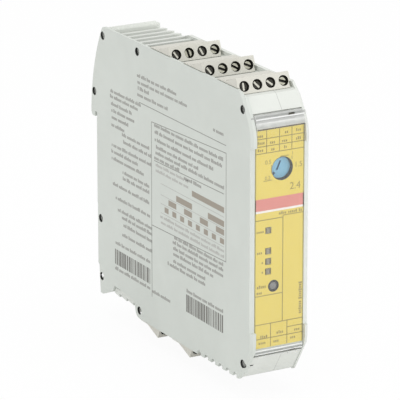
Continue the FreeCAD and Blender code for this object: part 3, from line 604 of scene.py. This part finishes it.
labelPrint = {
    "ink": 0.03, "line": 0.3, "left": -9.1, "right": 9.6,
    "rows": [(-9.1, 9.6, 34.8), (-9.1, 9.6, 32.2), (-9.1, 9.6, 29.8), (-9.1, 1.6, 6.75), (1.6, 9.6, 7.4),
             (-9.1, 1.6, -19.7), (-9.1, 9.6, -29.8), (3.44, 9.6, -32.2), (-9.1, 9.6, -34.9)],
    "columns": [(-4.86, 29.8, 38.0), (0.06, 29.8, 38.0), (4.81, 29.8, 38.0), (1.6, -29.8, 7.4),
                (-2.93, -38.0, -29.8), (3.44, -38.0, -29.8)],
    "band": (10.0, 14.1), "whiteLine": (9.25, 10.0), "topLine": (37.7, 38.2),
    "leaders": [(-2.97, 24.0, 0.24, 3.0), (2.0, 27.95, 3.4, 0.24), (-4.4, 20.2, 3.2, 0.24),
                (4.9, 26.9, 0.24, 1.2)],
    "edges": [(-8.95, 0, 0.3, 76.2), (9.42, 0, 0.36, 76.2)],
    "numbers": [("0.5", -4.2, 26.5, 1.5), ("0.2", -4.4, 21.1, 1.3), ("1", 5.1, 28.4, 1.3),
                ("1.5", 7.4, 24.2, 1.9), ("2.4", 6.2, 17.0, 2.6)],
    "numberSize": 1.35, "letter": 0.5, "seed": 5, "uprightLetter": 0.55, "uprightSeed": 9,
    "print": [(-8.5, -5.5, 2.8, 0.9), (-8.3, -5.5, -4.5, 1.0), (-6.5, -5.9, -8.0, 0.9),
              (-6.5, -5.9, -11.35, 0.9), (-8.3, -4.4, -16.45, 1.2), (-8.4, -6.0, -18.5, 1.1),
              (0.1, 8.9, 8.3, 1.0), (-8.3, -6.2, 35.9, 1.1), (-8.3, -5.6, 33.5, 1.1),
              (-8.2, -6.4, 31.0, 1.0), (-3.6, -1.5, 33.3, 1.1), (-3.1, -1.8, 30.9, 1.1),
              (2.1, 3.2, 36.1, 1.1), (1.0, 3.3, 33.2, 1.0), (1.8, 3.1, 31.0, 1.0), (6.4, 8.4, 36.2, 1.0),
              (6.4, 8.6, 33.3, 1.1), (-6.9, -4.4, -34.2, 1.0), (-7.5, -4.9, -36.3, 1.0),
              (-0.6, 2.1, -33.5, 1.1), (-1.8, 0.4, -36.4, 1.0), (6.3, 8.8, -33.6, 1.0),
              (4.8, 7.0, -36.2, 1.0)],
    "upright": (8.5, -28.2, -16.0, 1.3),
}


def rowMark(start, end, level):
    return ((start + end) / 2, level, end - start, labelPrint["line"])


def columnMark(x, low, high):
    return (x, (low + high) / 2, labelPrint["line"], high - low)


def bandMark(low, high):
    left, right = labelPrint["left"], labelPrint["right"]
    return ((left + right) / 2, (low + high) / 2, right - left, high - low)


def onLabel(name, marks, look):
    return film(name, marks, "front", labelY, labelPrint["ink"], "housing", "label_sheet", look)


lines = [rowMark(*row) for row in labelPrint["rows"]]
lines += [columnMark(*column) for column in labelPrint["columns"]]
onLabel("label_lines", lines + labelPrint["leaders"], inkBrown)
# the olive edges of the label are partly a printed border and partly painted shade cast by the cover's rim
onLabel("label_edge_lines_and_shade", labelPrint["edges"], oliveEdgeAndShade)
onLabel("label_red_band", [bandMark(*labelPrint["band"])], bandRed)
onLabel("label_white_line", [bandMark(*labelPrint["whiteLine"])], bandWhite)
onLabel("label_top_line", [bandMark(*labelPrint["topLine"])], inkBlack)
small = lettering(labelPrint["print"], labelPrint["seed"], labelPrint["letter"])
onLabel("label_small_print", small, inkBrown)
x, low, high, wide = labelPrint["upright"]
upright = lettering([(low, high, x, wide)], labelPrint["uprightSeed"], labelPrint["uprightLetter"])
upright = [(x, at, tall, width) for at, level, width, tall in upright]
onLabel("label_upright_print", upright, inkBrown)
for i, (words, x, z, size) in enumerate(labelPrint["numbers"]):
    clearSelection()
    bpy.ops.object.text_add(rotation=(math.pi / 2, 0, 0))
    number = bpy.context.object
    number.data.body = words
    number.data.size = size * labelPrint["numberSize"] * mm
    number.data.align_x = "CENTER"
    number.data.align_y = "CENTER"
    number.data.extrude = labelPrint["ink"] / 2 * mm
    number.location = (x * mm, (labelY - labelPrint["ink"] / 2) * mm, z * mm)
    bpy.ops.object.convert(target="MESH")
    settle(number)
    give(number, "dial_number_" + str(i + 1), "housing", "label_sheet", inkBrown)
print("label printed")


# knob, button and lamp windows

knob = {"sides": 72, "edge": 0.14, "cap": 2.6, "stubRadius": 2.2,
        "shadeFrom": 0.2, "shadeTo": 1.2, "shadeRadius": 3.6,
        "wellRadius": 4.08, "wellDeep": 3.2, "wellWall": 0.14,
        "slot": {"size": (0.62, 3.4, 1.0), "at": (-0.55, 0.75), "turn": 24.0},
        "pointer": {"size": (0.9, 1.6, 0.8), "at": (-2.75, -2.0), "turn": 54.0}}


def turnedKnob():
    clearSelection()
    front, back = knobLow[1], knobHigh[1]
    radius = (knobHigh[0] - knobLow[0]) / 2
    bpy.ops.mesh.primitive_cylinder_add(vertices=knob["sides"], radius=radius * mm, depth=knob["cap"] * mm,
                                        location=(knobX * mm, (front + knob["cap"] / 2) * mm, knobZ * mm),
                                        rotation=(math.pi / 2, 0, 0))
    cap = bpy.context.object
    settle(cap)
    # the stub is drawn out of the cap's back
    selectWhere(cap, "FACE", lambda face: face.normal[1] > finish["facing"])
    bpy.ops.mesh.inset(thickness=(radius - knob["stubRadius"]) * mm)
    stub = (back - front - knob["cap"]) * mm
    bpy.ops.mesh.extrude_region_move(TRANSFORM_OT_translate={"value": (0, stub, 0)})
    bpy.ops.object.mode_set(mode="OBJECT")
    for groove in (knob["slot"], knob["pointer"]):
        wide, long, deep = groove["size"]
        x, z = groove["at"]
        cutWith(cap, (wide, 2 * deep, long), (knobX + x, front, knobZ + z), groove["turn"])
    bevelEdges(cap, knob["edge"])
    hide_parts("setting_knob")
    return give(cap, "setting_knob_cap", "knob", "knob_plastic", knobBlue, knobGroovePaintedShade)


def inGroove(middle, normal):
    # floors and walls of the slot and the pointer, below the knob's face, which take a painted shade
    deep = middle[1] - knobLow[1]
    fromMiddle = math.hypot(middle[0] - knobX, middle[2] - knobZ)
    return knob["shadeFrom"] < deep < knob["shadeTo"] and fromMiddle < knob["shadeRadius"]


paintWhere(turnedKnob(), 1, inGroove)


wells = {"sides": 64, "edge": 0.03, "edgeFrom": 50}


def well(name, x, z, radius, deep, wall, look):
    # a thin tube of painted shade lining a round opening, standing for the shadow inside it
    clearSelection()
    bpy.ops.mesh.primitive_cylinder_add(vertices=wells["sides"], radius=radius * mm, depth=deep * mm,
                                        end_fill_type="NOTHING", rotation=(math.pi / 2, 0, 0),
                                        location=(x * mm, (labelY + deep / 2) * mm, z * mm))
    lining = bpy.context.object
    settle(lining)
    wallOf = lining.modifiers.new("wall", "SOLIDIFY")
    wallOf.thickness = wall * mm
    wallOf.offset = -1
    bpy.ops.object.modifier_apply(modifier=wallOf.name)
    bevelEdges(lining, wells["edge"], 1, wells["edgeFrom"])
    return give(lining, name, "housing", "black_plastic", look)


# the knob's opening gets a lining of painted shade
well("knob_well", knobX, knobZ, knob["wellRadius"], knob["wellDeep"], knob["wellWall"], wellPaintedShade)

button = {"edge": 0.1, "rim": 0.42, "slope": 0.08, "dish": 0.12, "topRadius": 1.2, "topDeep": 0.5,
          "wellRadius": 2.08, "wellDeep": 1.8, "wellWall": 0.12}


def dishFront(piece, y, rim, slope, deep):
    # the faces in that front plane get a rim and a sunk middle
    def inFront(face):
        return abs(face.center[1] / mm - y) < 0.02 and face.normal[1] < -finish["facing"]

    selectWhere(piece, "FACE", inFront)
    bpy.ops.mesh.inset(thickness=rim * mm)
    bpy.ops.mesh.inset(thickness=slope * mm, depth=-deep * mm)
    bpy.ops.object.mode_set(mode="OBJECT")


def dishButton(piece):
    dishFront(piece, buttonLow[1], button["rim"], button["slope"], button["dish"])


def onButtonTop(middle, normal):
    fromMiddle = math.hypot(middle[0] - buttonX, middle[2] - buttonZ)
    return middle[1] < buttonLow[1] + button["topDeep"] and fromMiddle < button["topRadius"]


cap = softCopy("reset_button", "reset_button_cap", button["edge"], "button",
               reshape=dishButton)
# all of the cap but the middle of its top takes a painted shade, standing for the dark ring round the
# button
wear(cap, buttonRimPaintedShade, buttonGrey)
paintWhere(cap, 1, onButtonTop)
# the button's opening gets a lining of painted shade
well("button_well", buttonX, buttonZ, button["wellRadius"], button["wellDeep"], button["wellWall"],
     wellPaintedShade)

pipes = {"edge": 0.06, "frame": 0.34, "slope": 0.06, "dish": 0.08, "half": 0.5, "lensDeep": 0.12}
pipeLow, pipeHigh = ends("light_pipes")


def framePipes(piece):
    dishFront(piece, pipeLow[1], pipes["frame"], pipes["slope"], pipes["dish"])


def onLens(middle, normal):
    fromMiddle = abs(middle[0] - (pipeLow[0] + pipeHigh[0]) / 2)
    toFront = middle[1] < pipeLow[1] + pipes["lensDeep"] and normal[1] < -finish["facing"]
    return toFront and fromMiddle < pipes["half"]


windows = softCopy("light_pipes", "light_pipe_windows", pipes["edge"], "housing",
                   reshape=framePipes)
wear(windows, lensSmoke, lensMiddle)
paintWhere(windows, 1, onLens)
print("knob, button and windows made")


# clear cover

# a painted strip of highlight or shade on the cover is its middle height and its own height, a notch its
# place and its size
clear = {"edge": 0.12, "lower": 0.8, "slopeFrom": (39.0, 39.8), "frostFrom": 38.3,
         "stripMiddle": 0.25, "stripLength": 18.4, "stripThick": 0.12, "stripBehind": 1.12,
         "highlightStrips": [(41.6, 0.4), (40.1, 0.5), (-39.0, 0.5), (-40.2, 0.3)],
         "shadeStrips": [(38.75, 0.28), (42.35, 0.25), (-39.7, 0.25)],
         "notches": [(4.5, 42.2, 2.3, 0.75), (5.3, -40.6, 2.6, 0.6)]}
clearFrontY = ends("clear_cover")[0][1]


def lowerSlope(piece):
    # the upper slope of the front begins a little lower than on the solid
    low, high = clear["slopeFrom"]
    moveWhere(piece, lambda spot: spot[1] < clearFrontY + 0.01 and low < spot[2] < high,
              (0, 0, -clear["lower"]))


def paintedStrips(rows):
    return [(clear["stripMiddle"], z, clear["stripLength"], high) for z, high in rows]


def onCover(name, marks, look):
    level = clearFrontY + clear["stripBehind"] + clear["stripThick"]
    return film(name, marks, "front", level, clear["stripThick"], "cover", "clear_plastic", look)


cover = softCopy("clear_cover", "clear_cover_moulding", clear["edge"], "cover",
                 reshape=lowerSlope)
wear(cover, coverClear, coverFrost)
paintWhere(cover, 1, lambda middle, normal: abs(middle[2]) > clear["frostFrom"])
# strips of painted highlight and painted shade stand for the streaks of light on the cover's clear lips
onCover("cover_painted_highlight_strips", paintedStrips(clear["highlightStrips"]), coverPaintedHighlight)
onCover("cover_painted_shade_strips", paintedStrips(clear["shadeStrips"]), coverPaintedShade)
# dark patches of painted shade stand for the latch notches in the cover
onCover("cover_latch_notch_shade", clear["notches"], notchPaintedShade)
print("clear cover made")


# print on the side

sidePrint = {
    "ink": 0.03, "letter": 1.3, "paleLetter": 1.1, "rule": 0.24, "thinRule": 0.16,
    "seed": 20, "paleSeed": 31, "stripeSeed": 3,
    "texts": [(51.3, 78.9, 11.7), (43.9, 78.9, 14.0), (70.8, 78.9, 16.2), (57.4, 78.9, 18.5),
              (18.9, 26.3, 17.7), (76.7, 99.2, 22.0), (79.0, 99.3, 24.0), (83.4, 99.3, 26.6),
              (81.6, 98.6, 29.0), (86.0, 98.6, 31.5), (89.0, 98.7, 34.3), (70.7, 90.5, 36.0),
              (69.3, 90.5, 38.5), (69.3, 98.8, 41.6), (79.2, 98.9, 44.0), (74.9, 98.9, 46.5),
              (70.8, 90.7, 49.8), (70.8, 90.7, 52.0), (70.9, 97.5, 55.8), (70.2, 95.4, 60.5),
              (68.8, 94.7, 64.6), (68.8, 90.9, 66.7), (68.8, 90.9, 69.3), (68.8, 90.9, 73.0),
              (70.3, 96.4, 77.3), (70.4, 96.8, 87.0)],
    "chartTexts": [(19.1, 67.0, 26.5), (19.8, 66.3, 28.9), (25.8, 66.3, 31.6), (36.1, 66.4, 34.1),
                   (18.4, 66.4, 36.2), (49.3, 67.1, 38.2), (34.0, 46.1, 40.0)],
    "lowTexts": [(18.9, 53.0, 63.3), (18.9, 53.7, 65.2), (18.9, 53.7, 67.3), (25.7, 53.7, 69.4),
                 (31.2, 53.7, 72.0), (31.2, 57.3, 74.0), (18.9, 44.5, 80.0), (55.9, 69.7, 87.5)],
    "paleTexts": [(43.0, 66.0, 40.6), (43.0, 66.0, 42.6), (18.3, 62.4, 58.4), (18.3, 62.4, 60.4)],
    "rules": [(17.1, 77.8, 21.2, 0), (16.9, 68.9, 24.9, 2.4), (16.9, 69.0, 62.6, 1.6),
              (18.4, 67.1, 38.9, 1.2)],
    "uprights": [(69.0, 26.0, 89.8), (17.0, 23.8, 62.0)],
    "codeStart": 18.3, "codeStep": 2.756, "codeColumns": 16, "codeRun": 8,
    "codeRows": [(43.1, 45.1), (47.9, 50.0), (51.0, 53.0), (54.3, 56.2)],
    "codeRules": [46.5, 50.5, 53.65, 57.0],
    "stripes": [(70.4, 96.7, 79.9, 85.5), (18.9, 44.5, 81.5, 87.8)],
    "stripeWidths": (0.3, 0.3, 0.6, 0.9), "stripeGaps": (0.3, 0.3, 0.6),
}


def sideRows(rows, high):
    # back from the front edge and down from the top edge
    return [(frontY + start, frontY + end, topZ - down, high) for start, end, down in rows]


def sideMark(start, end, upper, lower):
    return (frontY + (start + end) / 2, topZ - (upper + lower) / 2, end - start, lower - upper)


def onSide(name, marks, look):
    level = sideX + housing["sunk"]
    return film(name, marks, "side", level, sidePrint["ink"], "housing", "housing_plastic", look)


for i, key in enumerate(("texts", "chartTexts", "lowTexts")):
    rows = sideRows(sidePrint[key], sidePrint["letter"])
    onSide("side_small_print_" + str(i + 1), lettering(rows, sidePrint["seed"] + i), inkGrey)
rows = sideRows(sidePrint["paleTexts"], sidePrint["paleLetter"])
onSide("side_pale_print", lettering(rows, sidePrint["paleSeed"]), inkPale)
half = sidePrint["rule"] / 2
rules = [sideMark(start, end, down - half, down + half) + (slant,)
         for start, end, down, slant in sidePrint["rules"]]
rules += [sideMark(back - half, back + half, upper, lower) for back, upper, lower in sidePrint["uprights"]]
onSide("side_rules", rules, inkLine)
first, step, columns = sidePrint["codeStart"], sidePrint["codeStep"], sidePrint["codeColumns"]
half = sidePrint["thinRule"] / 2
onSide("side_code_rules", [sideMark(first, first + columns * step, down - half, down + half)
                           for down in sidePrint["codeRules"]], inkPale)
# each row of the code table halves the run of filled fields above it
code = []
run = sidePrint["codeRun"]
for upper, lower in sidePrint["codeRows"]:
    for at in range(0, columns, 2 * run):
        code.append(sideMark(first + at * step, first + (at + run) * step, upper, lower))
    run = run // 2
onSide("side_code_fields", code, inkChart)
chance = random.Random(sidePrint["stripeSeed"])
stripes = []
for start, end, upper, lower in sidePrint["stripes"]:
    while start < end:
        wide = chance.choice(sidePrint["stripeWidths"])
        stripes.append(sideMark(start, start + wide, upper, lower))
        start += wide + chance.choice(sidePrint["stripeGaps"])
onSide("side_stripes", stripes, inkStripe)
print("side printed")


# camera and stage

camera = {"place": (-0.56455, -1.05959, 0.35966), "aim": (-0.01125, -0.07486, 0.00549), "lens": 314.9}
bpy.ops.object.camera_add(location=camera["place"])
eye = bpy.context.object
eye.data.lens = camera["lens"]
eye.data.sensor_width = 36
eye.data.clip_end = 20
toward = Vector(camera["aim"]) - Vector(camera["place"])
eye.rotation_euler = toward.to_track_quat("-Z", "Y").to_euler()
bpy.context.scene.camera = eye

stageLook = {"size": 6.0, "drop": 0.004, "color": (0.86, 0.86, 0.86), "whiteShare": 0.94, "sky": 0.82}


def whiteWhenSeen(name, color, share):
    # the floor shows white to the lens and keeps part of its shadow
    material, tree, shader = newMaterial(name)
    shader.inputs["Base Color"].default_value = (*color, 1)
    shader.inputs["Roughness"].default_value = 0.9
    glow = tree.nodes.new("ShaderNodeEmission")
    glow.inputs["Color"].default_value = (1, 1, 1, 1)
    glow.inputs["Strength"].default_value = 1.0
    ray = tree.nodes.new("ShaderNodeLightPath")
    most = tree.nodes.new("ShaderNodeMath")
    most.operation = "MAXIMUM"
    more = tree.nodes.new("ShaderNodeMath")
    more.operation = "MAXIMUM"
    part = tree.nodes.new("ShaderNodeMath")
    part.operation = "MULTIPLY"
    part.inputs[1].default_value = share
    mix = tree.nodes.new("ShaderNodeMixShader")
    output = [n for n in tree.nodes if n.type == "OUTPUT_MATERIAL"][0]
    tree.links.new(ray.outputs["Is Camera Ray"], most.inputs[0])
    tree.links.new(ray.outputs["Is Glossy Ray"], most.inputs[1])
    tree.links.new(most.outputs[0], more.inputs[0])
    tree.links.new(ray.outputs["Is Transmission Ray"], more.inputs[1])
    tree.links.new(more.outputs[0], part.inputs[0])
    tree.links.new(part.outputs[0], mix.inputs["Fac"])
    tree.links.new(shader.outputs["BSDF"], mix.inputs[1])
    tree.links.new(glow.outputs["Emission"], mix.inputs[2])
    tree.links.new(mix.outputs["Shader"], output.inputs["Surface"])
    return material


clearSelection()
floorZ = cadBounds[0][2] - stageLook["drop"]
bpy.ops.mesh.primitive_plane_add(size=stageLook["size"], location=(0, 0, floorZ))
floor = bpy.context.object
floor.name = "floor"
wear(floor, whiteWhenSeen("floor_white", stageLook["color"], stageLook["whiteShare"]))

world = bpy.data.worlds.new("studio")
bpy.context.scene.world = world
world.use_nodes = True
sky = world.node_tree.nodes["Background"]
sky.inputs["Color"].default_value = (1, 1, 1, 1)
sky.inputs["Strength"].default_value = stageLook["sky"]
back = world.node_tree.nodes.new("ShaderNodeBackground")
back.inputs["Color"].default_value = (1, 1, 1, 1)
back.inputs["Strength"].default_value = 1.0
rays = world.node_tree.nodes.new("ShaderNodeLightPath")
swap = world.node_tree.nodes.new("ShaderNodeMixShader")
worldOut = world.node_tree.nodes["World Output"]
world.node_tree.links.new(rays.outputs["Is Camera Ray"], swap.inputs["Fac"])
world.node_tree.links.new(sky.outputs["Background"], swap.inputs[1])
world.node_tree.links.new(back.outputs["Background"], swap.inputs[2])
world.node_tree.links.new(swap.outputs["Shader"], worldOut.inputs["Surface"])

lamps = {
    "key": {"place": (0.35, -0.9, 0.15), "size": 0.7, "power": 2.9},
    "side": {"place": (-0.95, -0.25, 0.15), "size": 0.8, "power": 1.9},
    "top": {"place": (-0.05, -0.1, 1.1), "size": 0.8, "power": 3.6},
}
lampsAim = (0, -0.05, 0)
for name, lamp in lamps.items():
    bpy.ops.object.light_add(type="AREA", location=lamp["place"])
    light = bpy.context.object
    light.name = name + "_light"
    light.data.shape = "SQUARE"
    light.data.size = lamp["size"]
    light.data.energy = lamp["power"]
    toward = Vector(lampsAim) - Vector(lamp["place"])
    light.rotation_euler = toward.to_track_quat("-Z", "Y").to_euler()
bpy.context.scene.view_settings.view_transform = "Standard"
print("camera and lights set")
